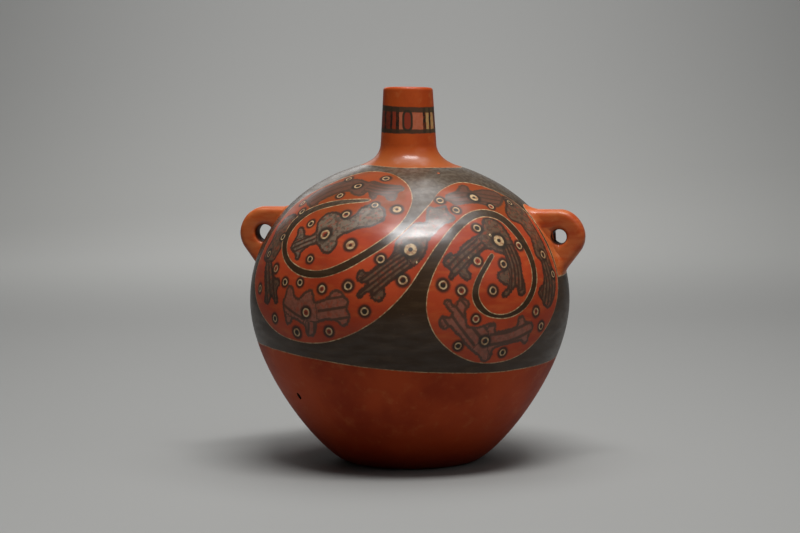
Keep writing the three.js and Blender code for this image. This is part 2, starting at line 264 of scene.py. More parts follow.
# Each figure: its tone, the pixels round it, and bands of lines: the pixels along a band, half its width in
# millimetres and how many lines it has
figures = {
    "head in the left tongue": {
        "tone": "ash",
        "outline": [
            (316, 231), (317, 224), (321.5, 217.5), (328, 213), (335, 212), (341, 214), (347, 218),
            (355, 214.5), (361, 208), (368, 205), (376, 204), (383, 207.5), (385.5, 212.5), (384.5, 219.5),
            (379, 223.5), (370, 227), (360, 228), (351, 231.5), (343, 235), (338, 239), (337, 244.5),
            (333, 250.5), (327.5, 254), (322, 252), (318.5, 246.5), (314.5, 244.5), (307.5, 247.5),
            (301.5, 252.5), (299, 259), (295.5, 259.5), (294.5, 254), (290.5, 248.5), (292.5, 243),
            (296.5, 236), (298.5, 228.5), (302.5, 226.5), (305, 231), (305.5, 235), (310.5, 235.5),
        ],
        "bands": [([(315, 238.5), (304, 243), (292, 248.5)], 4.2, 3)],
    },
    "creature along the top of the left lobe": {
        "tone": "plum",
        "outline": [
            (309, 206.5), (307.5, 199), (318, 191), (330, 185.5), (343, 181.5), (352, 179.5), (361, 179.5),
            (368, 182), (374, 181), (384, 184), (393, 185), (402, 186), (404, 190), (398, 193),
            (395.5, 199.5), (389, 200.5), (384, 196), (378, 195), (374, 199.5), (370, 197.5), (368, 192),
            (362, 195.5), (354, 195), (349, 191.5), (341, 192), (331, 196), (320, 201.5), (315.5, 207),
        ],
        "bands": [
            ([(351, 185), (332, 190.5), (311, 202)], 8.0, 3),
            ([(369, 187), (384, 190), (402, 190)], 6.0, 4),
        ],
    },
    "creature on the diagonal": {
        "tone": "ink",
        "outline": [
            (395, 243.5), (399, 237.5), (406, 231), (413, 224.5), (419.5, 222.3), (425.5, 222),
            (426.5, 212.5), (428.5, 206.8), (435, 207.6), (441, 206.3), (445.5, 205.5), (449, 212),
            (455, 218), (451, 222.5), (445, 223.7), (439.5, 227.8), (435, 233.4), (430.7, 237.4),
            (428, 243.5), (426, 252), (419, 262), (411, 268), (400, 275.5), (389, 283.5), (384.5, 288),
            (385.5, 295), (381, 301.5), (374.5, 301), (370, 296), (371, 292.5), (366, 293.5), (360, 298.5),
            (356, 294.5), (362, 288.5), (367, 283.5), (362, 283), (356.5, 279.5), (357, 273), (362, 269.5),
            (367.5, 272), (378, 265), (388, 258.5), (393.5, 251),
        ],
        "bands": [([(405, 259), (388, 271), (360, 293)], 6.0, 5)],
    },
    "creature at the bottom of the left lobe": {
        "tone": "plum",
        "outline": [
            (290.5, 285), (294, 289), (295, 295), (298.5, 298), (302.5, 294.5), (306, 291), (311.5, 289.5),
            (314, 294.5), (315.5, 301.5), (327, 297.5), (330.5, 293), (335, 289.5), (342, 292), (345, 297),
            (348.5, 301), (347.5, 309), (350, 315.5), (348, 324), (342, 326.5), (338, 322.5), (330, 320),
            (318, 322.5), (316.5, 328), (314, 336), (307, 335), (304.5, 326.5), (298.5, 321.5),
            (292.5, 319), (291, 323), (287, 324), (284.5, 315), (282.5, 303.5), (285.5, 294.5), (287, 288),
        ],
        "bands": [
            ([(318, 311), (332, 309), (347, 306.5)], 12.0, 5),
            ([(284, 305), (294, 313), (303, 318.5)], 2.4, 1),
            ([(311.5, 323), (311.5, 329), (311, 334.5)], 3.0, 2),
        ],
    },
    "creature on the left shoulder": {
        "tone": "ink",
        "outline": [
            (290.5, 215), (294.5, 213.8), (297, 217), (293, 222), (288.5, 228.5), (286, 234), (283.5, 243),
            (280.5, 249.5), (277, 255.5), (273.5, 261), (268, 263), (264, 258), (267, 249.5),
            (271.3, 241.5), (275, 233.5), (278, 227), (282, 222), (287, 217),
        ],
        "bands": [],
    },
    "creature down the left side": {
        "tone": "ink",
        "outline": [
            (271, 259), (272.5, 267), (274, 276), (279, 278.5), (280, 284), (277, 291), (278, 302),
            (275, 303.5), (271.5, 296), (269, 303.5), (264.5, 302), (265, 291), (264.5, 279), (265, 269),
            (267, 261),
        ],
        "bands": [([(269, 262), (269.5, 280), (271, 300)], 5.0, 3)],
    },
    "creature at the top of the right lobe": {
        "tone": "plum",
        "outline": [
            (446.5, 195), (456, 191), (460, 185), (467.5, 186.5), (470.5, 191), (484, 189.5), (495.5, 192),
            (502.5, 198), (500, 206), (491, 206.5), (479, 203.5), (466, 203.5), (456, 205), (450, 202),
            (446, 200.5),
        ],
        "bands": [([(448, 198), (474, 197), (501, 201)], 6.0, 3)],
    },
    "head in the right tongue": {
        "tone": "ink",
        "outline": [
            (483, 219), (490, 217.5), (498, 221.5), (505, 228.5), (511, 238.5), (515, 248), (519.5, 257),
            (521.5, 267), (523, 277), (525.5, 287), (525.5, 293), (521.5, 296), (518, 294), (516.5, 287),
            (512.5, 290.5), (507, 297), (502, 296.5), (503.5, 291), (508, 286.5), (503, 284), (498, 279.5),
            (497, 274), (500, 271), (505, 269), (506.5, 263), (504, 255), (497, 252.5), (491, 249.5),
            (484.5, 250), (478.5, 255.5), (473, 261.5), (468, 269), (471, 274), (471, 278.5), (467, 281),
            (462, 278), (458.5, 274), (455, 276.5), (452, 280.5), (448.5, 277.5), (450.5, 271),
            (444, 265.5), (442.5, 261), (448, 253), (456, 254), (462, 245.5), (470.5, 238.5), (479, 234),
            (481.5, 227),
        ],
        "bands": [
            ([(508, 246), (515.5, 266), (517, 288)], 4.6, 4),
            ([(479, 241), (463, 255), (450, 268)], 6.0, 4),
        ],
    },
    "creature at the bottom of the right lobe": {
        "tone": "plum",
        "outline": [
            (443.5, 302), (449, 299), (454.5, 305.5), (457.5, 300.5), (463, 298), (469, 301.5),
            (469, 307.5), (466, 311), (466.5, 318), (468, 325.5), (474.5, 327), (482, 325.5), (491, 322.5),
            (496, 324.5), (496, 331), (507, 329.5), (516.5, 325.5), (517.5, 318), (523, 315.5), (526, 321),
            (532, 323), (533, 328.5), (529, 334.5), (527.5, 341.5), (523.5, 344), (520, 341), (509.5, 344),
            (498, 347), (493, 350), (491, 357), (487, 361.5), (481.5, 361.5), (478.5, 356.5), (470, 349.5),
            (465.5, 345), (461.5, 339.5), (454.5, 332.5), (449.5, 327), (446, 330), (440.5, 328),
            (438.5, 321.5), (442, 316), (448, 317), (451.5, 314.5), (446.5, 307.5),
        ],
        "bands": [
            ([(449, 304), (462, 322), (478, 342)], 7.6, 4),
            ([(490, 340), (510, 336), (531, 326)], 7.6, 4),
        ],
    },
    "creature down the right side": {
        "tone": "ink",
        "outline": [
            (502, 196.5), (508, 197.5), (515.5, 201), (523, 208), (528, 216.5), (533, 224.5), (539, 235),
            (545, 247), (549, 258), (552.5, 268), (555, 277), (555.5, 287), (554, 298), (549, 307.5),
            (544, 306), (541.5, 300), (538.5, 294), (540, 287), (543.5, 283), (543, 272), (540.5, 261),
            (536, 256), (533, 247), (530.5, 238), (525.5, 231), (520, 224), (512.5, 221), (507, 215.5),
            (505, 209), (505.5, 203.5),
        ],
        "bands": [([(543, 262), (548, 282), (546, 304)], 5.5, 4)],
    },
}
# Each eye: its pixel and the outer radius of its pale ring in millimetres
eyes = {
    "thin": [
        (349, 179, 2.2), (358, 186, 2.6), (386, 178.5, 2.6), (340, 195.5, 2.3), (375, 205, 2.3),
        (346, 214.5, 2.7), (303, 203, 2.2), (302, 211.5, 2.4), (311, 223.5, 2.4), (325, 234.5, 3.6),
        (310, 259, 2.4), (283, 237, 2.4), (269, 254, 2.4), (276, 268.5, 2.6), (285, 282, 2.5),
        (300, 282.5, 2.4), (322, 289, 2.6), (348, 286, 2.9), (380.5, 259, 2.8), (403, 280, 3.1),
        (364.5, 311.5, 2.8), (306, 312.5, 2.9), (329, 331.5, 2.7), (297, 332.5, 2.9), (275, 318.5, 2.5),
        (260, 288.5, 2.6), (440, 200.5, 2.7), (456, 210, 2.6), (491, 206.5, 2.2), (509.5, 202.5, 2.2),
        (477, 228, 2.8), (519, 245.5, 2.7), (543, 254.5, 2.8), (553, 274, 2.4), (477.5, 261, 2.8),
        (503.5, 264, 2.8), (493, 290.5, 2.8), (461.5, 290.5, 2.7), (443, 285, 3.0), (476, 319, 2.5),
        (485, 341, 2.9), (458, 346, 2.6), (502.5, 352.5, 2.6), (536, 311.5, 2.7), (541, 326, 2.6),
    ],
    "bold": [
        (410.5, 249.5, 4.3), (499, 240.5, 3.9), (474, 197.5, 3.2), (397, 209.5, 2.9), (350.5, 245, 3.2),
    ],
    "dot": [(489.5, 234.7, 0.7), (468.5, 257.3, 0.6), (416.7, 262.5, 0.6)],
    "chip": [(438.5, 173.2, 1.0)],
}


def readPixels(pixels):
    # bearing in degrees and climb where the camera's rays through the pixels meet the body
    rays = np.array([((x - view["middleX"]) / view["focal"], (view["middleY"] - y) / view["focal"], -1)
                     for x, y in pixels])
    rays = rays @ np.array(cameraTurn()).T
    near = view["distance"] - view["rayNear"] * body["bellyRadius"]
    far = view["distance"] + view["rayFar"] * body["bellyRadius"]
    steps = np.linspace(near, far, view["raySteps"])
    points = np.array(cameraPlace()) + rays[:, None, :] * steps[None, :, None]
    level = points - swellAt(points)
    gaps = offWall(level)
    first = np.where((gaps < 0).any(axis=1), (gaps < 0).argmax(axis=1), gaps.argmin(axis=1))
    return placesOf(level[np.arange(len(points)), first])


def smoothed(points, closed=False, steps=10):
    # smooth curve through the points
    points = np.asarray(points, float)
    if closed:
        padded = np.vstack((points[-1:], points, points[:2]))
    else:
        padded = np.vstack((2 * points[0] - points[1], points, 2 * points[-1] - points[-2]))
    a, b, c, d = (padded[i:len(padded) - 3 + i, None] for i in range(4))
    t = np.linspace(0, 1, steps, endpoint=False)[None, :, None]
    bow = a - 2.5 * b + 2 * c - d / 2
    twist = 1.5 * (b - c) + (d - a) / 2
    curve = b + (c - a) / 2 * t + bow * t ** 2 + twist * t ** 3
    curve = curve.reshape(-1, points.shape[1])
    return curve if closed else np.vstack((curve, points[-1:]))


def insideOutline(outline, places):
    inside = np.zeros(len(places), bool)
    x, y = places.T
    for (x0, y0), (x1, y1) in zip(outline, np.roll(outline, -1, axis=0)):
        if y0 != y1:
            crosses = (y0 > y) != (y1 > y)
            inside ^= crosses & (x < x0 + (y - y0) * (x1 - x0) / (y1 - y0))
    return inside


def nearestDistance(curve, points):
    # distance to a closed curve
    tree = kdtree.KDTree(len(curve))
    for i, point in enumerate(curve):
        tree.insert(point, i)
    tree.balance()
    nearest = np.array([tree.find(point)[1] for point in points])
    offset = points - curve[nearest]
    gaps = []
    for step in (-1, 1):
        along = curve[(nearest + step) % len(curve)] - curve[nearest]
        share = np.einsum("ij,ij->i", offset, along) / np.einsum("ij,ij->i", along, along)
        gaps.append(np.linalg.norm(offset - np.clip(share, 0, 1)[:, None] * along, axis=1))
    return np.minimum(*gaps)


def signedDistance(outline, points):
    # distance to an outline of bearings and climbs, negative inside it
    distance = nearestDistance(onBody(*outline.T), points)
    return np.where(insideOutline(outline, placesOf(points)), -distance, distance)


paint = {
    "lowest": -45.0,          # climb under which nothing is drawn
    "depth": 1.0,             # nor farther than this off the wall
    "patchFoot": 18.0,        # climb of the lower edge of the orange round a lug
    "patchTop": 62.0,
    "patchFootHalf": 15.5,
    "patchTopHalf": 8.0,
    "proudStart": 0.5,        # what stands farther than this off the wall is orange
    "proudGain": 2.0,
    "bandEnd": 1.0,           # how far lines run past the ends of their band
    "farAway": 6.0,           # distances are cut off here
    "eyeInner": {"thin": 0.6, "bold": 0.36, "dot": 0.1, "chip": 0.05},
}


def scrollField(points):
    outline = smoothed(readPixels(scrollPixels), closed=True, steps=12)
    return np.clip(signedDistance(outline, points), -paint["farAway"], paint["farAway"])


def ringField(pixels, back, bearing, climb):
    # how far above a line round the jar
    ring = np.vstack((readPixels(pixels), back))
    line = smoothed(np.vstack((ring - (360, 0), ring, ring + (360, 0))))
    return climb - np.interp(bearing, line[:, 0], line[:, 1])


def orangeField(points, bearing, climb):
    # negative round the lugs and the neck
    sideways = np.radians(np.abs(np.abs(bearing) - 90)) * np.hypot(points[:, 0], points[:, 1])
    share = (climb - paint["patchFoot"]) / (paint["patchTop"] - paint["patchFoot"])
    half = paint["patchFootHalf"] + (paint["patchTopHalf"] - paint["patchFootHalf"]) * np.clip(share, 0, 1)
    patch = np.maximum(sideways - half, paint["patchFoot"] - climb)
    over = np.maximum(climb - paint["patchTop"], 0)
    patch = np.where(over > 0, np.hypot(sideways, over) - paint["patchTopHalf"], patch)
    patch = patch - paint["proudGain"] * np.maximum(offWall(points) - paint["proudStart"], 0)
    return np.minimum(patch, -ringField(neckLinePixels, neckLineBack, bearing, climb))


def figureFields(points):
    # distance outside the nearest figure, a count that passes a half at each line of a band, how far apart
    # the lines are, and the figure's tone
    distance = np.full(len(points), paint["farAway"])
    phase, spacing, tone = np.zeros((3, len(points)))
    for figure in figures.values():
        outline = smoothed(readPixels(figure["outline"]), closed=True, steps=6)
        curve = onBody(*outline.T)
        middle = curve.mean(axis=0)
        reach = np.linalg.norm(curve - middle, axis=1).max() + paint["farAway"]
        close = np.flatnonzero(np.linalg.norm(points - middle, axis=1) < reach)
        if not len(close):
            continue
        gap = signedDistance(outline, points[close])
        nearer = gap < distance[close]
        close = close[nearer]
        distance[close] = gap[nearer]
        tone[close] = tones[figure["tone"]]
        phase[close], spacing[close] = bandPhase(figure["bands"], points[close])
    return distance, phase, spacing, tone


def bandPhase(bands, points):
    phase, spacing = np.zeros((2, len(points)))
    for pixels, half, lines in bands:
        axis = onBody(*smoothed(readPixels(pixels), steps=48).T)
        offsets = points[:, None] - axis[None]
        nearest = np.linalg.norm(offsets, axis=2).argmin(axis=1)
        offset = offsets[np.arange(len(points)), nearest]
        along = np.gradient(axis, axis=0)[nearest]
        along /= np.linalg.norm(along, axis=1)[:, None]
        outwards = points / np.linalg.norm(points, axis=1)[:, None]
        aside = np.einsum("ij,ij->i", np.cross(along, outwards), offset)
        beyond = np.abs(np.einsum("ij,ij->i", along, offset))
        within = (np.abs(aside) < half) & (beyond < paint["bandEnd"])
        phase[within] = ((0.5 + 0.5 * aside / half) * lines)[within]
        spacing[within] = 2 * half / lines
    return phase, spacing


def eyeField(points):
    # offset from the nearest eye in its own radii, the inner edge of its ring, and its distance
    field = np.full((len(points), 3), paint["farAway"])
    nearest = np.full(len(points), np.inf)
    for kind, places in eyes.items():
        centres = onBody(*readPixels([(x, y) for x, y, radius in places]).T)
        for centre, (x, y, radius) in zip(centres, places):
            outwards = Vector(centre - (0, 0, body["bellyHeight"])).normalized()
            east = Vector((0, 0, 1)).cross(outwards).normalized()
            north = outwards.cross(east)
            offsets = (points - centre) / radius
            away = np.linalg.norm(offsets, axis=1)
            close = away < nearest
            nearest[close] = away[close]
            field[close, 0] = offsets[close] @ np.array(east)
            field[close, 1] = offsets[close] @ np.array(north)
            field[close, 2] = paint["eyeInner"][kind]
    return field, np.minimum(nearest, paint["farAway"])


def paintFields(points):
    # the painting is the same on the back, so its points are turned to the front
    bearing, climb = placesOf(points).T
    front = np.where(np.abs(bearing)[:, None] > 90, points * (-1, -1, 1), points)
    drawn = (climb > paint["lowest"]) & (np.abs(offWall(points)) < paint["depth"])
    scroll, figure, phase, spacing, tone = np.zeros((5, len(points)))
    scroll[:] = figure[:] = paint["farAway"]
    eye = np.full((len(points), 3), paint["farAway"])
    eyeAway = np.full(len(points), paint["farAway"])
    if drawn.any():
        scroll[drawn] = scrollField(front[drawn])
        figure[drawn], phase[drawn], spacing[drawn], tone[drawn] = figureFields(front[drawn])
        eye[drawn], eyeAway[drawn] = eyeField(front[drawn])
    return {
        "ground": ringField(lowerLinePixels, lowerLineBack, bearing, climb),
        "orange": orangeField(points, bearing, climb),
        "scroll": scroll,
        "figure": figure,
        "phase": phase,
        "spacing": spacing,
        "tone": tone,
        "eye": eye,
        "eyeAway": eyeAway,
    }


def feed(shader, inputs):
    # sockets are linked to a shader's inputs, plain values set on them
    for name, value in inputs.items():
        if isinstance(value, Wash):
            value.tree.links.new(value.socket, shader.inputs[name])
        else:
            shader.inputs[name].default_value = value


# A socket in a material's nodes, so that sums on sockets can be written as sums
class Wash:
    def __init__(self, tree, socket):
        self.tree = tree
        self.socket = socket

    def node(self, kind, settings=None, inputs=None, output=0):
        made = self.tree.nodes.new(kind)
        for name, value in (settings or {}).items():
            setattr(made, name, value)
        feed(made, inputs or {})
        return Wash(self.tree, made.outputs[output])

    def parts(self):
        split = self.node("ShaderNodeSeparateXYZ", inputs={0: self}).socket.node
        return [Wash(self.tree, socket) for socket in split.outputs]

    def math(self, operation, second=0.0, third=0.0):
        return self.node("ShaderNodeMath", {"operation": operation}, {0: self, 1: second, 2: third})

    def __add__(self, other):
        return self.math("ADD", other)

    __radd__ = __add__

    def __sub__(self, other):
        return self.math("SUBTRACT", other)

    def __rsub__(self, other):
        return self.node("ShaderNodeMath", {"operation": "SUBTRACT"}, {0: other, 1: self})

    def __mul__(self, other):
        return self.math("MULTIPLY", other)

    def __truediv__(self, other):
        return self.math("DIVIDE", other)

    def __abs__(self):
        return self.math("ABSOLUTE")

    def rise(self, low, high):
        # 0 below low, 1 above high, eased between them
        settings = {"interpolation_type": "SMOOTHSTEP"}
        return self.node("ShaderNodeMapRange", settings, {0: self, 1: low, 2: high})

    def fall(self, low, high):
        return 1 - self.rise(low, high)

    def over(self, under, colour):
        # this mask lays a colour over the one under it: a Mix node's colours are inputs 6 and 7, output 2
        return self.node("ShaderNodeMix", {"data_type": "RGBA"}, {0: self, 6: under, 7: colour}, 2)


def shade(*values):
    # screen values of 0 to 255 as a colour
    shares = [value / 255 for value in values]
    linear = [share / 12.92 if share <= 0.04045 else ((share + 0.055) / 1.055) ** 2.4 for share in shares]
    return (*linear, 1.0)


def newMaterial(name):
    material = bpy.data.materials.new(name)
    material.use_nodes = True
    tree = material.node_tree
    place = Wash(tree, tree.nodes.new("ShaderNodeTexCoord").outputs["Object"])
    return material, tree.nodes["Principled BSDF"], place


slip = {
    "red": shade(174, 66, 24),
    "redDark": shade(142, 45, 12),
    "redWorn": shade(184, 96, 52),
    "redFootShade": shade(112, 28, 3),
    "black": shade(53, 35, 17),
    "blackWorn": shade(78, 59, 40),
    "lobe": shade(176, 66, 32),
    "lobeDark": shade(150, 52, 24),
    "lobeOrange": shade(184, 90, 42),
    "lobeRust": shade(126, 58, 15),
    "cream": shade(196, 168, 126),
    "tan": shade(150, 108, 74),
    "ink": shade(90, 71, 53),
    "inkLine": shade(44, 34, 24),
    "ash": shade(106, 94, 78),
    "plum": shade(138, 84, 66),
    "plumLine": shade(64, 49, 36),
    "line": shade(44, 35, 26),
    "orange": shade(194, 85, 31),
    "orangeDark": shade(166, 63, 20),
    "orangePale": shade(200, 120, 66),
    "flare": shade(148, 78, 34),
    "brick": shade(140, 56, 36),
    "brickDark": shade(104, 46, 32),
    "salmon": shade(184, 104, 74),
    "sand": shade(184, 144, 92),
    "ring": shade(62, 50, 36),
    "clay": shade(150, 92, 62),
    "clayDark": shade(98, 56, 38),
    # near black for painted shade in the pit and the lugs' eyes
    "paintedShade": shade(16, 11, 7),
}
gloss = {
    "black": 0.95,
    "lobe": 0.54,
    "figure": 0.95,
    "orange": 0.5,
    "red": 0.04,
    "neck": 0.35,
    "belly": 0.45,            # share of the gloss that is left at the belly
    "specular": 0.12,
    "roughness": 0.55,
    "strokeRoughness": 0.2,
    "grainRoughness": 0.08,
    "coatRoughness": 0.235,
    "coatIndex": 1.65,
    "strokeRelief": 0.7,
    "grainRelief": 0.3,
    "relief": 0.15,
    "clayRelief": 0.5,
    "reliefDepth": 0.0006,    # metres
    "clayRoughness": 0.85,
    "paintedShadeRoughness": 0.9,
    "paintedShadeSpecular": 0.1,
}
# Each noise: its scale, its detail, and how far it is squeezed along each axis if it is
grains = {
    "clouds": (24, 4),
    "mottle": (130, 4),
    "crumbs": (420, 3),
    "streaks": (60, 5, (1, 1, 4)),
    "specks": (700, 2),
    "drift": (90, 2),
    "tremble": (320, 2),
    "wearAndSheenMottle": (360, 4),
    "rusting": (52, 3),
    "flecks": (380, 3),
    "kept": (45, 4),
    "reds": (75, 2),
    "patches": (30, 4),
    "spots": (140, 4),
    "haze": (40, 4),
    "neckTremble": (250, 2),
    "grit": (500, 4),
    "strokes": (70, 4, (1, 1, 4)),
    "grain": (900, 2),
}
# Each ground: a slip, then what wears through or lies on it: a noise, where that begins and is full, how
# much it covers there, and its slip
grounds = {
    "red": ("redDark", [
        ("clouds", (0.35, 0.65), 1.0, "red"),
        ("mottle", (0.55, 0.8), 0.5, "redWorn"),
        ("crumbs", (0.62, 0.8), 0.3, "redWorn"),
    ]),
    "black": ("black", [
        ("streaks", (0.45, 0.75), 0.5, "blackWorn"),
        ("crumbs", (0.6, 0.75), 0.3, "blackWorn"),
    ]),
    "lobe": ("lobeDark", [
        ("clouds", (0.3, 0.7), 1.0, "lobe"),
        ("streaks", (0.45, 0.75), 0.5, "lobeOrange"),
        ("mottle", (0.5, 0.75), 0.4, "brick"),
    ]),
    "cream": ("tan", [("crumbs", (0.35, 0.65), 1.0, "cream")]),
    "middle": ("line", [("reds", (0.5, 0.62), 1.0, "brick")]),
    "orange": ("orangeDark", [
        ("patches", (0.3, 0.7), 1.0, "orange"),
        ("spots", (0.55, 0.8), 0.45, "orangePale"),
    ]),
    "clay": ("clayDark", [
        ("haze", (0.3, 0.7), 1.0, "clay"),
        ("grit", (0.6, 0.7), 0.4, "clayDark"),
    ]),
    "paintedShade": ("paintedShade", [("grit", (0.4, 0.7), 1.0, "line")]),
}
# Each mask: where it begins and where it is full, how much it adds there if not 1, and to what if not 0
masks = {
    # heights in metres
    "redFootShade": (0.055, 0.005, 0.7),
    "wornAndSheen": (0.155, 0.18),
    "rust": (0.15, 0.172),
    "plumShadeTop": (0.155, 0.175, 0.75),
    "flareFoot": (0.165, 0.185),
    "flareTop": (0.206, 0.194, 0.85),
    "glossy": (0.105, 0.15, 1 - gloss["belly"], gloss["belly"]),
    # noises
    "wearAndSheenMottle": (0.38, 0.64, 0.4, 0.15),
    "rusting": (0.44, 0.6, 0.3, 0.7),
    "thin": (0.5, 0.66, 0.45),
    "flecks": (0.45, 0.62, 0.6),
    "kept": (0.32, 0.6, 0.7, 0.25),
    "lugStreaks": (0.3, 0.7, 0.5),
    "specks": (0.72, 0.8, 0.35),
    "panelWear": (0.4, 0.7, 0.3),
    "strokes": (0.3, 0.7, 0.5, 0.5),
    # distances in millimetres
    "black": (-0.25, 0.25),
    "lobe": (0.2, -0.2),
    "figure": (0.9, -0.2),
    "inLobe": (-0.2, -0.7),
    "limbLine": (0.95, 0.35),
    "limbRim": (1.5, 0.7),
    "scrollLine": (0.45, 0.15),
    "lowLine": (0.45, 0.15, 0.75),
    "orange": (0.2, -0.2),
    "orangeLine": (0.6, 0.2, 0.8),
    # distances in the radii of an eye or of the oval
    "halo": (1.95, 1.25, 0.92),
    "eye": (1.5, 1.3),
    "pale": (1.0, 0.82, 0.95),
    "middle": (0.08, -0.1),
    "pupil": (0.32, 0.14, 0.8),
    "ringed": (0.15, 0.3),
    "creamy": (0.06, 0.09),
    "oval": (1.3, 0.9),
    "ovalMiddle": (0.5, 0.28),
    # tones, lines counted in a band, figures and soot
    "ash": (0.2, 0.45),
    "plum": (0.6, 0.9),
    "flecked": (1.4, 0.55),
    "banded": (0.02, 0.1),
    "bare": (1.0, 0.0),
    "eyeShaded": (0.25, 0.95, 0.9),
    "outsideEyeShade": (0.7, 0.2),
}
brush = {
    "drift": 0.9,             # millimetres between which the edges wander and tremble
    "tremble": 0.8,
    "groundDrift": 0.5,       # shares of these in each edge
    "scrollDrift": 0.4,
    "orangeDrift": 0.5,
    "limbTremble": 0.8,
    "limbSpecks": 2.0,
    "lineTremble": 0.15,
    "eyeTremble": 0.22,
    "haloTremble": 0.3,
    "rimInset": 0.4,          # how far inside a figure its outline is drawn
    "lineShare": 0.9,         # how much a figure's dark lines cover, and the figure itself
    "figureShare": 0.95,
}


def noise(place, name):
    # a material has one noise of each name
    tree = place.tree
    if name in tree.nodes:
        return Wash(tree, tree.nodes[name].outputs[0])
    scale, detail, *stretch = grains[name]
    if stretch:
        place = place.node("ShaderNodeMapping", inputs={"Vector": place, "Scale": stretch[0]})
    inputs = {"Vector": place, "Scale": scale, "Detail": detail}
    return place.node("ShaderNodeTexNoise", {"name": name}, inputs)


def swing(place, name):
    # noise about nought
    return noise(place, name) - 0.5


def mask(value, name):
    start, full, *amounts = masks[name]
    shown = value.rise(start, full) if start < full else value.fall(full, start)
    if amounts:
        shown = shown * amounts[0]
    return shown + amounts[1] if len(amounts) > 1 else shown


def patchy(place, name):
    return mask(noise(place, name), name)


def laid(place, name):
    # a ground with its wear
    base, coats = grounds[name]
    colour = slip[base]
    for pattern, span, share, over in coats:
        colour = (noise(place, pattern).rise(*span) * share).over(colour, slip[over])
    return colour


def burnish(shader, place, colour, shine):
    # strokes of the burnishing pebble show in the gloss, with a fine grain under them
    roughness = gloss["roughness"] + swing(place, "strokes") * gloss["strokeRoughness"]
    relief = noise(place, "strokes") * gloss["strokeRelief"] + noise(place, "grain") * gloss["grainRelief"]
    feed(shader, {
        "Base Color": colour,
        "Coat Weight": shine * patchy(place, "strokes"),
        "Roughness": roughness + swing(place, "grain") * gloss["grainRoughness"],
        "Normal": bumped(relief, gloss["relief"]),
        "Specular IOR Level": gloss["specular"],
        "Coat Roughness": gloss["coatRoughness"],
        "Coat IOR": gloss["coatIndex"],
    })


def bumped(relief, strength):
    inputs = {"Strength": strength, "Distance": gloss["reliefDepth"], "Height": relief}
    return relief.node("ShaderNodeBump", inputs=inputs)


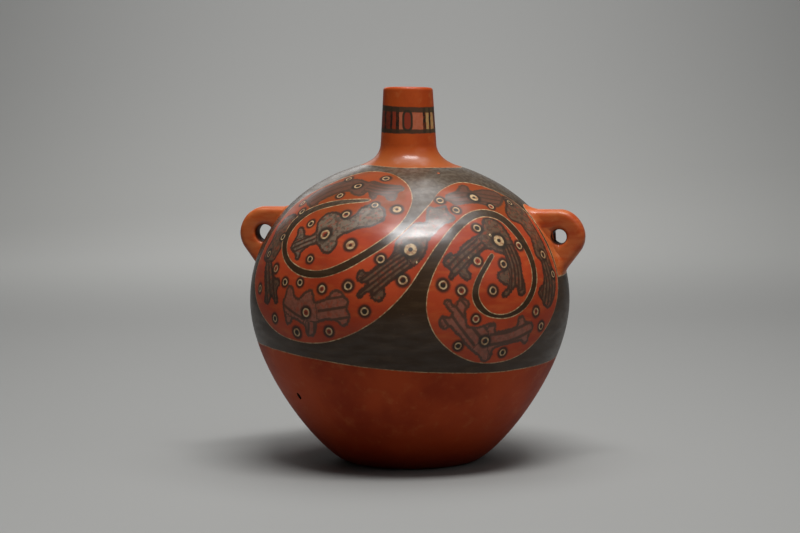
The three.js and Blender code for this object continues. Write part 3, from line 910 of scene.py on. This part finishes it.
def makePaintedSlip():
    material, shader, place = newMaterial("paintedSlip")
    ground, orange, scroll, figure, phase, spacing, tone, eyeAway, eyeShade = (
        place.node("ShaderNodeAttribute", {"attribute_name": field}, output="Fac")
        for field in ("ground", "orange", "scroll", "figure", "phase", "spacing", "tone", "eyeAway", "eyeShade")
    )
    eye = place.node("ShaderNodeAttribute", {"attribute_name": "eye"}, output="Vector")
    eyeInner = eye.parts()[2]
    height = place.parts()[2]
    drift = swing(place, "drift") * brush["drift"]
    wobble = drift + swing(place, "tremble") * brush["tremble"]

    # grounds
    # the red is painted darker towards the foot: painted shade
    red = mask(height, "redFootShade").over(laid(place, "red"), slip["redFootShade"])
    # the black is painted greyer towards the top: partly real wear, partly painted sheen
    wornAndSheen = mask(height, "wornAndSheen") * patchy(place, "wearAndSheenMottle")
    black = wornAndSheen.over(laid(place, "black"), slip["ash"])
    border = ground + drift * brush["groundDrift"]
    isBlack = mask(border, "black")
    colour = isBlack.over(red, black)

    # scroll
    rust = mask(height, "rust") * patchy(place, "rusting")
    lobe = rust.over(laid(place, "lobe"), slip["lobeRust"])
    edge = scroll + drift * brush["scrollDrift"]
    isLobe = mask(edge, "lobe")
    colour = isLobe.over(colour, lobe)

    # figures in the scroll, with dark outlines and dark lines along their limbs
    limb = figure + wobble * brush["limbTremble"] + swing(place, "specks") * brush["limbSpecks"]
    isPlum = mask(tone, "plum")
    fill = mask(tone, "ash").over(slip["ink"], slip["ash"])
    fill = isPlum.over(fill, slip["plum"])
    fill = mask(noise(place, "crumbs"), "thin").over(fill, slip["lobeDark"])
    dark = isPlum.over(slip["inkLine"], slip["plumLine"])
    fill = (patchy(place, "flecks") * mask(tone, "flecked")).over(fill, dark)
    # plum figures are painted darker towards the top: painted shade that tones down the top light
    fill = (mask(height, "plumShadeTop") * isPlum).over(fill, dark)
    within = (phase + wobble * brush["lineTremble"]).math("FRACT")
    lines = mask(abs(within - 0.5) * spacing, "limbLine") * mask(phase, "banded")
    rim = mask(abs(limb + brush["rimInset"]), "limbRim")
    fill = (lines.math("MAXIMUM", rim) * brush["lineShare"]).over(fill, dark)
    isFigure = mask(limb, "figure") * mask(edge, "inLobe")
    colour = (isFigure * brush["figureShare"]).over(colour, fill)

    # cream lines along the scroll and the lower edge of the black, worn thin in places
    kept = patchy(place, "kept")
    cream = laid(place, "cream")
    lines = mask(abs(edge), "scrollLine").math("MAXIMUM", mask(abs(border), "lowLine"))
    colour = (lines * kept).over(colour, cream)

    # eyes: a dark halo, a cream ring and a dark or red middle
    across = eye.node("ShaderNodeVectorMath", {"operation": "MULTIPLY"}, {0: eye, 1: (1, 1, 0)})
    away = across.node("ShaderNodeVectorMath", {"operation": "LENGTH"}, {0: across}, "Value")
    away = away + wobble * brush["eyeTremble"]
    isEye = mask(eyeAway, "eye")
    isRing = mask(eyeInner, "ringed") * isEye
    colour = mask(eyeAway + wobble * brush["haloTremble"], "halo").over(colour, slip["line"])
    pale = mask(eyeInner, "creamy").over(slip["lobeOrange"], cream)
    colour = (mask(away, "pale") * isEye).over(colour, pale)
    colour = (mask(away - eyeInner, "middle") * isRing).over(colour, laid(place, "middle"))
    colour = (mask(away, "pupil") * isRing).over(colour, slip["line"])

    # orange round the lugs and the foot of the neck
    plain = laid(place, "orange")
    streaked = mask(noise(place, "streaks"), "lugStreaks").over(plain, slip["orangePale"])
    # the flare's slip is browner and darker than the neck's: partly its own colour, partly painted shade
    # that tones down the top light on this upward face
    isFlare = mask(height, "flareFoot")
    warm = (isFlare * mask(height, "flareTop")).over(isFlare.over(streaked, plain), slip["flare"])
    side = orange + drift * brush["orangeDrift"]
    isOrange = mask(side, "orange")
    colour = isOrange.over(colour, warm)
    colour = (mask(abs(side), "orangeLine") * kept).over(colour, cream)

    # worn specks, and painted shade in the lugs' eyes
    colour = patchy(place, "specks").over(colour, slip["clay"])
    # the lugs' eyes are painted near black: painted shade
    colour = mask(eyeShade, "eyeShaded").over(colour, slip["paintedShade"])
    shine = isBlack * (gloss["black"] - gloss["red"]) + gloss["red"]
    shine = shine + isLobe * mask(isFigure, "bare") * (gloss["lobe"] - gloss["black"])
    shine = shine + isFigure * (gloss["figure"] - gloss["black"])
    shine = shine + isOrange * isBlack * (gloss["orange"] - gloss["black"])
    burnish(shader, place, colour, shine * mask(height, "glossy") * mask(eyeShade, "outsideEyeShade"))
    return material


neckBand = {
    "rings": [                # upper and lower edge of each black ring, each a height and how much it drops
        ((228.9, 0.045), (225.4, 0.04)),    # per millimetre to the right
        ((214.6, 0.02), (211.8, 0.012)),
    ],
    "ringEdge": 0.35,
    "ringShare": 0.92,
    "panelEdge": 0.6,
    "ovalBearing": 11.2,
    "ovalHalfTurn": 11.0,
    "ovalMiddle": 220.0,
    "ovalHalfHeight": 6.8,
    "tremble": 0.9,
    "panelTremble": 4.0,      # degrees per millimetre of that
    "panels": [               # bearing in degrees where each panel of the band begins, and its slip
        (-90, "brickDark"), (-50, "line"), (-43, "brickDark"), (-30, "line"), (-24, "brick"), (-15, "line"),
        (-7.5, "salmon"), (46.3, "line"), (53.5, "sand"), (63, "line"), (69, "sand"), (81, "line"),
        (86, "brickDark"),
    ],
}


def setPanels(ramp):
    ramp.interpolation = "CONSTANT"
    while len(ramp.elements) < len(neckBand["panels"]):
        ramp.elements.new(0.5)
    for element, (bearing, name) in zip(ramp.elements, neckBand["panels"]):
        element.position = (bearing + 90) / 180
        element.color = slip[name]


def makeNeckSlip():
    material, shader, place = newMaterial("neckSlip")
    x, y, z = place.parts()
    wobble = swing(place, "neckTremble") * neckBand["tremble"]
    aside = x / mm
    height = z / mm + wobble
    turn = x.math("ARCTAN2", 0 - y) * (180 / math.pi)
    folded = turn.math("WRAP", 90, -90)

    # panels between the rings, on the back too
    share = (folded + wobble * neckBand["panelTremble"] + 90) / 180
    panels = share.node("ShaderNodeValToRGB", inputs={0: share})
    setPanels(panels.socket.node.color_ramp)
    panels = mask(noise(place, "crumbs"), "panelWear").over(panels, slip["orangeDark"])
    top, topDrop = neckBand["rings"][0][0]
    foot, footDrop = neckBand["rings"][1][1]
    inBand = (height + aside * topDrop).fall(top - neckBand["panelEdge"], top)
    inBand = inBand * (height + aside * footDrop).rise(foot, foot + neckBand["panelEdge"])
    colour = inBand.over(laid(place, "orange"), panels)
    across = (folded - neckBand["ovalBearing"]) / neckBand["ovalHalfTurn"]
    upward = (height - neckBand["ovalMiddle"]) / neckBand["ovalHalfHeight"]
    oval = across * across + upward * upward * upward * upward
    colour = mask(oval, "oval").over(colour, slip["ring"])
    colour = mask(oval, "ovalMiddle").over(colour, slip["brick"])
    soft = neckBand["ringEdge"]
    for (top, topDrop), (foot, footDrop) in neckBand["rings"]:
        ring = (height + aside * topDrop).fall(top - soft, top + soft)
        ring = ring * (height + aside * footDrop).rise(foot - soft, foot + soft)
        colour = (ring * neckBand["ringShare"]).over(colour, slip["ring"])
    burnish(shader, place, colour, (noise(place, "haze") + 0.5) * gloss["neck"])
    return material


def makeBareClay():
    material, shader, place = newMaterial("bareClay")
    feed(shader, {
        "Base Color": laid(place, "clay"),
        "Roughness": gloss["clayRoughness"],
        "Normal": bumped(noise(place, "grit"), gloss["clayRelief"]),
    })
    return material


# near-black painted shade for the inside of the pit
def makePaintedShade():
    material, shader, place = newMaterial("paintedShade")
    feed(shader, {
        "Base Color": laid(place, "paintedShade"),
        "Roughness": gloss["paintedShadeRoughness"],
        "Specular IOR Level": gloss["paintedShadeSpecular"],
    })
    return material


paintedSlip = makePaintedSlip()
neckSlip = makeNeckSlip()
bareClay = makeBareClay()
paintedShade = makePaintedShade()
print("materials mixed")

sharpAngle = math.radians(40)
mergeReach = 0.001
unswollen = ("left_lug", "right_lug", "neck_tube")    # nodes whose pieces don't follow the fuller shoulder


def vertsOf(geom):
    return [item for item in geom if isinstance(item, bmesh.types.BMVert)]


def turnRound(bm, verts, angle):
    bmesh.ops.rotate(bm, verts=verts, cent=(0, 0, 0), matrix=Matrix.Rotation(angle, 3, "Z"))


def spun(profile, columns, closed=True):
    # profile of radius and height turned about the jar's axis: a quarter is spun, then copied round
    bm = bmesh.new()
    verts = [bm.verts.new((radius, 0, height)) for radius, height in profile]
    ends = verts[1:] + (verts[:1] if closed else [])
    edges = [bm.edges.new(pair) for pair in zip(verts, ends)]
    bmesh.ops.spin(bm, geom=verts + edges, cent=(0, 0, 0), axis=(0, 0, 1), angle=math.pi / 2,
                   steps=columns // 4)
    for turn in (math.pi / 2, math.pi):
        copied = bmesh.ops.duplicate(bm, geom=bm.verts[:] + bm.edges[:] + bm.faces[:])["geom"]
        turnRound(bm, vertsOf(copied), turn)
    bmesh.ops.remove_doubles(bm, verts=bm.verts, dist=mergeReach)
    bmesh.ops.recalc_face_normals(bm, faces=bm.faces)
    return bm


def makePiece(bm, name, node, materials, materialAt=None, ownField=None):
    for edge in bm.edges:
        edge.smooth = edge.calc_face_angle(0) < sharpAngle
    for face in bm.faces:
        face.smooth = True
        if materialAt:
            face.material_index = int(materialAt(face.calc_center_median()))
    mesh = bpy.data.meshes.new(name)
    points = np.array([vert.co for vert in bm.verts])
    if node not in unswollen:
        for vert, move in zip(bm.verts, swellAt(points)):
            vert.co += Vector(move)
    bmesh.ops.scale(bm, vec=(mm, mm, mm), verts=bm.verts)
    bm.to_mesh(mesh)
    bm.free()
    for material in materials:
        mesh.materials.append(material)
    if paintedSlip in materials:
        fields = paintFields(points)
        if ownField:
            fields.update(ownField(points))
        for field, values in fields.items():
            isVector = values.ndim == 2
            attribute = mesh.attributes.new(field, "FLOAT_VECTOR" if isVector else "FLOAT", "POINT")
            attribute.data.foreach_set("vector" if isVector else "value", values.astype(np.float32).ravel())
    piece = bpy.data.objects.new(name, mesh)
    scene.collection.objects.link(piece)
    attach(piece, "root")
    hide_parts(node)
    print(name, len(mesh.vertices), "points")


def insideWall(centre):
    return math.hypot(centre.x, centre.y) < radiusAt(centre.z) - body["clayDepth"] * body["wall"]


# Walls of the body
girth = 0.0
dishTop = float(climbTo(body["dishSeam"]))
crown = float(climbs[-1])
flareRim = boxOf("neck_luting_coil")[1].x + body["flareWider"]
flareClimb = float(np.interp(-flareRim, -meridian[:, 0][climbs > 0], climbs[climbs > 0]))


def makeShoulder():
    fineEnd = flareClimb + body["underFlare"]
    profile = np.vstack((
        wallAt(evenSteps(girth, fineEnd, body["rowStep"])),
        wallAt(evenSteps(fineEnd, crown, body["hiddenStep"])[1:]),
        innerAt(evenSteps(crown, girth + body["scarf"], body["hiddenStep"])),
    ))
    bm = spun(profile, body["columns"])
    materials = (paintedSlip, bareClay)
    makePiece(bm, "paintedShoulder", "shoulder_dome", materials, insideWall)


pit = {
    "halfWidth": 1.8,
    "halfHeight": 2.5,
    "depth": 4.5,
    "height": 48.6,
    "bearing": -42.7,        # degrees
    "floorShare": 0.65,
    "slack": 1.0,            # how far before or behind the pit a face still counts as its own
    "paintedShadeStart": 0.2,        # depth from which the pit is painted near black as shade
}
pitMouth = Vector(onBody(pit["bearing"], climbTo(pit["height"])))
pitEast = direction(pit["bearing"] + 90)
pitNorth = (Vector(onBody(pit["bearing"], climbTo(pit["height"]) + 1)) - pitMouth).normalized()
pitOutwards = pitEast.cross(pitNorth)


def pitOffset(point):
    # sideways and upwards in half widths of the pit, and depth
    offset = point - pitMouth
    aside = offset.dot(pitEast) / pit["halfWidth"]
    upward = offset.dot(pitNorth) / pit["halfHeight"]
    return Vector((aside, upward)), -offset.dot(pitOutwards)


def pitPoint(offset, depth):
    aside = pitEast * offset.x * pit["halfWidth"]
    upward = pitNorth * offset.y * pit["halfHeight"]
    return pitMouth + aside + upward - pitOutwards * depth


def pressPit(bm):
    def inMouth(face):
        offset, depth = pitOffset(face.calc_center_median())
        return offset.length < 1 and abs(depth) < pit["slack"]

    mouth = [face for face in bm.faces if inMouth(face)]
    pressed = bmesh.ops.extrude_face_region(bm, geom=mouth)
    bmesh.ops.delete(bm, geom=[face for face in mouth if face.is_valid], context="FACES_ONLY")
    floorVerts = vertsOf(pressed["geom"])
    joined = {other for vert in floorVerts for edge in vert.link_edges for other in edge.verts}
    for vert in joined - set(floorVerts):
        offset, depth = pitOffset(vert.co)
        vert.co = pitPoint(offset.normalized(), depth)
    for vert in floorVerts:
        offset, depth = pitOffset(vert.co)
        vert.co = pitPoint(offset * pit["floorShare"], depth + pit["depth"])


lowerWallMaterials = (paintedSlip, bareClay, paintedShade)


def lowerWallMaterial(centre):
    offset, depth = pitOffset(centre)
    # the pit's inside is painted near black: painted shade
    if offset.length < 1 and pit["paintedShadeStart"] < depth < pit["depth"] + pit["slack"]:
        return lowerWallMaterials.index(paintedShade)
    return insideWall(centre)


def makeLowerWall():
    profile = np.vstack((
        wallAt(evenSteps(dishTop, girth, body["rowStep"])),
        innerAt(evenSteps(girth + body["scarf"], dishTop + body["scarf"], body["hiddenStep"])),
    ))
    bm = spun(profile, body["columns"])
    pressPit(bm)
    makePiece(bm, "redLowerWall", "lower_wall", lowerWallMaterials, lowerWallMaterial)


def makeFoot():
    profile = np.vstack((
        np.linspace((0, 0), (body["footRadius"], 0), body["underRows"], endpoint=False),
        wallAt(evenSteps(climbs[0], dishTop, body["rowStep"])),
        innerAt(evenSteps(dishTop + body["scarf"], climbs[0], body["hiddenStep"])),
        ((0, body["floor"]),),
    ))
    bm = spun(profile, body["columns"] // 2, closed=False)
    makePiece(bm, "roundedFoot", "base_dish", (paintedSlip, bareClay), insideWall)


makeShoulder()
makeLowerWall()
makeFoot()
print("body raised")

# Neck and the flare at its foot
rimHeight = boxOf("neck_tube")[1].z
neck = {
    "footRadius": 17.8,
    "lipRadius": 15.9,
    "flareTop": 205.1,
    "lipRound": 2.0,
    "lean": 0.08,             # the mouth's plane leans back, as a slope
    "rise": 0.4,
    "leanFrom": 226.0,
    "boreClay": 0.6,          # how far round the bore the clay is bare
    "sunk": 0.6,              # how far hidden edges lie inside their neighbours
    "hiddenDrop": 1.0,        # and the neck's own farther down and in
    "hiddenInset": 2.0,
    "flareRimSunk": 0.1,
    "flareTopInset": 1.5,
    "flareHiddenStart": 7.0,  # down from the crown
    "flareFootSweep": 9.0,
    "flareNeckSweep": 8.5,
    "sideRows": 30,
    "lipRows": 9,
    "boreRows": 12,
    "flareRows": 28,
    "columns": 128,
}


def makeNeck():
    bore = body["boreRadius"]
    lipRound = neck["lipRound"]
    lipFoot = rimHeight - lipRound
    boreFoot = body["crownHeight"] - neck["sunk"]
    hiddenRadius = neck["footRadius"] - neck["hiddenInset"]
    quarter = np.linspace(0, math.pi / 2, neck["lipRows"])
    sideFoot = (neck["footRadius"], neck["flareTop"])
    side = np.linspace(sideFoot, (neck["lipRadius"], lipFoot), neck["sideRows"])
    outerLip = np.stack((neck["lipRadius"] - lipRound + lipRound * np.cos(quarter),
                         lipFoot + lipRound * np.sin(quarter)), axis=-1)
    innerLip = np.stack((bore + lipRound - lipRound * np.sin(quarter),
                         lipFoot + lipRound * np.cos(quarter)), axis=-1)
    inner = np.linspace((bore, lipFoot), (bore, boreFoot), neck["boreRows"])
    hidden = ((hiddenRadius, boreFoot - neck["hiddenDrop"]), (hiddenRadius, neck["flareTop"]))
    bm = spun(np.vstack((side, outerLip[1:], innerLip, inner[1:], hidden)), neck["columns"])
    for vert in bm.verts:
        share = max(vert.co.z - neck["leanFrom"], 0) / (rimHeight - neck["leanFrom"])
        vert.co.z += (neck["rise"] - neck["lean"] * vert.co.y) * share

    def insideBore(centre):
        return math.hypot(centre.x, centre.y) < bore + neck["boreClay"]

    makePiece(bm, "bandedNeck", "neck_tube", (neckSlip, bareClay), insideBore)


def makeNeckFlare():
    rim = wallAt(flareClimb, -neck["flareRimSunk"])
    uphill = wallAt(flareClimb + 1) - wallAt(flareClimb)
    top = np.array((neck["footRadius"], neck["flareTop"]))
    flare = bezier((
        rim,
        rim + uphill * neck["flareFootSweep"],
        top - (0, neck["flareNeckSweep"]),
        top,
    ), neck["flareRows"])
    hidden = np.vstack((
        top - (neck["flareTopInset"], 0),
        wallAt(evenSteps(crown - neck["flareHiddenStart"], flareClimb, body["hiddenStep"]), -neck["sunk"]),
    ))
    bm = spun(np.vstack((flare, hidden)), 2 * neck["columns"])
    makePiece(bm, "neckFlare", "neck_luting_coil", (paintedSlip,))


makeNeck()
makeNeckFlare()
print("neck set")

# Lugs, made by hand and so not quite alike
lugHigh = boxOf("right_lug")[1]
lug = {
    "ringRadius": 16.0,      # from the middle of the ring to its tip
    "crownRadius": 17.0,     # and to its top
    "halfThickness": 7.0,
    "tipThinning": 0.45,
    "rootSwell": 2.0,
    "rootBite": 3.0,
    "shoulder": 1.85,        # 2 is a round outline, lower is a more pointed one
    "eyeEdge": 5.0,          # 2 is a round bar, higher is a squarer one
    "outerEdge": 3.5,
    "leastBar": 0.5,
    "eyeShadeReach": 1.7,        # how far the painted shade spreads round the eye
    "turns": 120,
    "sides": 48,
    "lift": 0.6,
    "farthest": 60.0,        # how far outlines and skins are looked for
    "outlineSteps": 1200,
    "leastSlope": 0.05,
    "coreDrop": 8.0,         # from the middle of the ring down to the middle of the root
    "rootSearch": 32.0,
    "halvings": 30,
    "slopeStep": 0.5,
    "filletTurns": 96,
    "filletRows": 9,
    "filletLugSunk": 0.25,
    "filletWallSunk": 0.12,
    "filletHidden": 2.0,
}
lugSides = {
    "right": {
        "turn": 0.0,
        "furtherOut": 1.0,
        "eyeRadius": 4.6,
        "eyeShift": (0.1, 0.0),      # outwards and up from the middle of the ring
        "rootDrop": 26.5,
        "filletReach": 9.5,          # along the top and the underside
        "filletSideReach": 1.4,
        "filletSpread": 6.5,
    },
    "left": {
        "turn": math.pi,
        "furtherOut": -1.2,
        "eyeRadius": 5.5,
        "eyeShift": (-1.0, 0.0),
        "rootDrop": 24.6,
        "filletReach": 2.5,
        "filletSideReach": 1.5,
        "filletSpread": 1.2,
    },
}
ringZ = lugHigh.z + lug["lift"] - lug["crownRadius"]


def ringX(side):
    return lugHigh.x + lugSides[side]["furtherOut"] - lug["ringRadius"]


def eyeReach(turns, side):
    # from the middle of the ring to the edge of the eye
    out, up = lugSides[side]["eyeShift"]
    along = out * np.cos(turns) + up * np.sin(turns)
    across = out * np.sin(turns) - up * np.cos(turns)
    return along + np.sqrt(lugSides[side]["eyeRadius"] ** 2 - across ** 2)


def lugOutline(turns, side):
    # how far the lug reaches from its ring's middle: round outside, level on top, slanting below, and cut
    # off in the wall
    middle, ring, crown = ringX(side), lug["ringRadius"], lug["crownRadius"]
    across, up = np.cos(turns), np.sin(turns)
    power = lug["shoulder"]
    least = lug["leastSlope"]
    outer = (np.abs(across / ring) ** power + np.abs(up / crown) ** power) ** (-1 / power)
    level = crown / np.maximum(up, least)
    drop = lugSides[side]["rootDrop"]
    toRoot = Vector((float(radiusAt(ringZ - drop)) - lug["rootBite"] - middle, -drop))
    touch = math.atan2(toRoot.y, toRoot.x) + math.acos(ring / toRoot.length)
    slant = np.cos(turns - touch)
    below = np.where((np.sin(turns - touch) < 0) & (slant > least), ring / np.maximum(slant, least), ring)
    reach = np.where(up < 0, below, np.where(across < 0, level, outer))
    steps = np.linspace(0, lug["farthest"], lug["outlineSteps"])
    buried = middle + np.outer(across, steps) < radiusAt(ringZ + np.outer(up, steps)) - lug["rootBite"]
    wallReach = np.where(buried.any(axis=1), steps[buried.argmax(axis=1)], lug["farthest"])
    return np.maximum(np.minimum(reach, wallReach), eyeReach(turns, side) + lug["leastBar"])


def lugHalfWidth(x, middle):
    ring = lug["ringRadius"]
    if x > middle:
        return lug["halfThickness"] * math.sqrt(1 - lug["tipThinning"] * min((x - middle) / ring, 1) ** 2)
    return lug["halfThickness"] + lug["rootSwell"] * ((middle - x) / (2 * ring)) ** 2


def makeLugSkin(side):
    # a ring spun about the eye, drawn out to the lug's outline
    bm = bmesh.new()
    spinRadius = 2
    section = bmesh.ops.create_circle(bm, segments=lug["sides"], radius=1.0)["verts"]
    bmesh.ops.translate(bm, vec=(spinRadius, 0, 0), verts=section)
    bmesh.ops.spin(bm, geom=bm.verts[:] + bm.edges[:], cent=(0, 0, 0), axis=(0, 1, 0), angle=2 * math.pi,
                   steps=lug["turns"], use_merge=True)
    bmesh.ops.remove_doubles(bm, verts=bm.verts, dist=mergeReach)
    turns = np.array([math.atan2(vert.co.z, vert.co.x) for vert in bm.verts])
    middle = ringX(side)
    for vert, turn, outline, inner in zip(bm.verts, turns, lugOutline(turns, side), eyeReach(turns, side)):
        out = math.hypot(vert.co.x, vert.co.z) - spinRadius
        power = 2 / (lug["outerEdge"] if out > 0 else lug["eyeEdge"])
        reach = (outline + inner) / 2 + (outline - inner) / 2 * math.copysign(abs(out) ** power, out)
        x = middle + reach * math.cos(turn)
        y = lugHalfWidth(x, middle) * math.copysign(abs(vert.co.y) ** power, vert.co.y)
        vert.co = (x, y, ringZ + reach * math.sin(turn))
    bmesh.ops.recalc_face_normals(bm, faces=bm.faces)
    return bm


def filletColumns(skin, turns, side):
    # for each direction round the root: a start on the lug, the corner, an end on the wall, a hidden point
    tree = BVHTree.FromBMesh(skin)
    values = lugSides[side]
    middle = ringX(side)
    coreZ = ringZ - lug["coreDrop"]

    def lugSkinAt(x, turn):
        away = Vector((0, math.cos(turn), math.sin(turn)))
        hit = tree.ray_cast(Vector((x, 0, coreZ)) + away * lug["farthest"], -away)[0]
        return hit if hit else Vector((x, 0, coreZ))

    def rootAt(turn):
        low, high = middle - lug["rootSearch"], middle
        for _ in range(lug["halvings"]):
            x = (low + high) / 2
            point = lugSkinAt(x, turn)
            if math.hypot(point.x, point.y) < float(radiusAt(point.z)):
                low = x
            else:
                high = x
        return high

    for turn in turns:
        root = rootAt(turn)
        corner = lugSkinAt(root, turn)
        upright = math.sin(turn) ** 2
        reach = values["filletSideReach"] + (values["filletReach"] - values["filletSideReach"]) * upright
        slope = (lugSkinAt(root + lug["slopeStep"], turn) - corner).length / lug["slopeStep"]
        start = lugSkinAt(root + reach / slope, turn)
        away = Vector((0, math.cos(turn), math.sin(turn)))
        spread = corner + away * values["filletSpread"]
        wallRadius = float(radiusAt(spread.z)) - lug["filletWallSunk"]
        end = Vector((math.sqrt(wallRadius ** 2 - spread.y ** 2), spread.y, spread.z))
        core = (Vector((root, 0, coreZ)) - corner).normalized()
        hidden = corner + core * lug["filletHidden"] - Vector((lug["filletHidden"], 0, 0))
        yield start + core * lug["filletLugSunk"], corner, end, hidden


def neighbours(vert):
    return [edge.other_vert(vert) for edge in vert.link_edges]


def makeLugFillet(skin, side):
    # clay smoothed into the corner between the lug and the wall
    bm = bmesh.new()
    loop = bmesh.ops.create_circle(bm, segments=lug["filletTurns"], radius=1.0)["verts"]
    columns = list(filletColumns(skin, [math.atan2(vert.co.y, vert.co.x) for vert in loop], side))
    rows = lug["filletRows"]
    for row in range(rows + 1):
        t = row / (rows - 1)
        for vert, (start, corner, end, hidden) in zip(loop, columns):
            curve = start * (1 - t) ** 2 + corner * 2 * t * (1 - t) + end * t ** 2
            vert.co = curve if row < rows else hidden
        if row < rows:
            edges = {edge for vert in loop for edge in vert.link_edges if edge.other_vert(vert) in loop}
            fresh = set(vertsOf(bmesh.ops.extrude_edge_only(bm, edges=list(edges))["geom"]))
            loop = [next(other for other in neighbours(vert) if other in fresh) for vert in loop]
    bmesh.ops.bridge_loops(bm, edges=[edge for edge in bm.edges if edge.is_boundary])
    bmesh.ops.recalc_face_normals(bm, faces=bm.faces)
    return bm


def makeLugs():
    def eyeShadeAt(points):
        # painted shade: 1 in the eye, fading out round it
        out, up = values["eyeShift"]
        away = np.hypot(np.abs(points[:, 0]) - ringX(side) - out, points[:, 2] - ringZ - up)
        return {"eyeShade": np.clip(1 - (away - values["eyeRadius"]) / lug["eyeShadeReach"], 0, 1)}

    for side, values in lugSides.items():
        skin = makeLugSkin(side)
        fillet = makeLugFillet(skin, side)
        for bm in (skin, fillet):
            turnRound(bm, bm.verts, values["turn"])
        makePiece(skin, side + "Lug", side + "_lug", (paintedSlip,), ownField=eyeShadeAt)
        makePiece(fillet, side + "LugFillet", side + "_lug_luting_coil", (paintedSlip,))


makeLugs()
print("lugs set")

# Floor, backdrop and lights, in metres
stage = {
    "floorGrey": shade(141, 141, 139),
    "wallGrey": shade(192, 192, 189),
    "wallStart": (0.7, 1.65),     # distances behind the object between which the floor turns into the wall
    "topGrey": shade(185, 185, 183),
    "topStart": (1.65, 2.2),
    "sideGrey": shade(0, 0, 0),
    "sideStart": (0.06, 0.95),    # distances aside between which painted shade darkens the grey
    "sideShade": 0.6,
    "sideShift": 0.05,            # how far to the left of the object the brightest part lies
    "roughness": 0.9,
    "width": 5.0,
    "front": -2.0,
    "back": 2.6,
    "bend": 1.2,
    "bendRows": 16,
    "top": 3.0,
    "worldGrey": 0.04,
}
lamps = {
    "bank": {"bearing": 150.0, "elevation": 85.0, "distance": 2.2, "size": (1.8, 2.2), "power": 38.0},
    "softbox": {"bearing": 31.0, "elevation": 71.6, "distance": 2.2, "size": (1.25, 0.48), "power": 37.0},
    "fill": {"bearing": 70.0, "elevation": 38.0, "distance": 3.0, "size": (2.5, 2.5), "power": 9.5},
    "back": {"bearing": 206.0, "elevation": 21.0, "distance": 1.5, "size": (1.0, 0.4), "power": 1.4},
}


def makePaper():
    material, shader, place = newMaterial("paperSweep")
    x, y = place.parts()[:2]
    turn = math.radians(view["bearing"])
    aside = abs(x * math.cos(turn) + y * math.sin(turn) + stage["sideShift"])
    behind = y * math.cos(turn) - x * math.sin(turn)
    # the paper is painted lighter up the wall and darker to the sides: painted light and shade
    colour = behind.rise(*stage["wallStart"]).over(stage["floorGrey"], stage["wallGrey"])
    colour = behind.rise(*stage["topStart"]).over(colour, stage["topGrey"])
    colour = (aside.rise(*stage["sideStart"]) * stage["sideShade"]).over(colour, stage["sideGrey"])
    feed(shader, {"Base Color": colour, "Roughness": stage["roughness"]})
    return material


def makeStage():
    bm = bmesh.new()
    radius = stage["bend"]
    bend = [(stage["back"] - radius + radius * math.sin(t), radius - radius * math.cos(t))
            for t in np.linspace(0, math.pi / 2, stage["bendRows"])]
    profile = [(stage["front"], 0)] + bend + [(stage["back"], stage["top"])]
    verts = [bm.verts.new((-stage["width"] / 2, y, z)) for y, z in profile]
    edges = [bm.edges.new(pair) for pair in zip(verts, verts[1:])]
    made = bmesh.ops.extrude_edge_only(bm, edges=edges)["geom"]
    bmesh.ops.translate(bm, vec=(stage["width"], 0, 0), verts=vertsOf(made))
    turnRound(bm, bm.verts, math.radians(view["bearing"]))
    bmesh.ops.recalc_face_normals(bm, faces=bm.faces)
    for face in bm.faces:
        face.smooth = True
    mesh = bpy.data.meshes.new("sweep")
    bm.to_mesh(mesh)
    bm.free()
    mesh.materials.append(makePaper())
    sweep = bpy.data.objects.new("sweep", mesh)
    scene.collection.objects.link(sweep)


def makeLights():
    for name, values in lamps.items():
        lamp = bpy.data.lights.new(name, "AREA")
        lamp.shape = "RECTANGLE"
        lamp.size, lamp.size_y = values["size"]
        lamp.energy = values["power"]
        light = bpy.data.objects.new(name, lamp)
        towards = direction(values["bearing"], values["elevation"])
        light.location = Vector((0, 0, body["bellyHeight"] * mm)) + towards * values["distance"]
        light.rotation_euler = (-towards).to_track_quat("-Z", "Y").to_euler()
        scene.collection.objects.link(light)
    world = bpy.data.worlds.new("studio")
    world.use_nodes = True
    level = stage["worldGrey"]
    world.node_tree.nodes["Background"].inputs["Color"].default_value = (level, level, level, 1)
    scene.world = world


makeStage()
makeLights()
scene.view_settings.view_transform = "Standard"
print("stage lit")
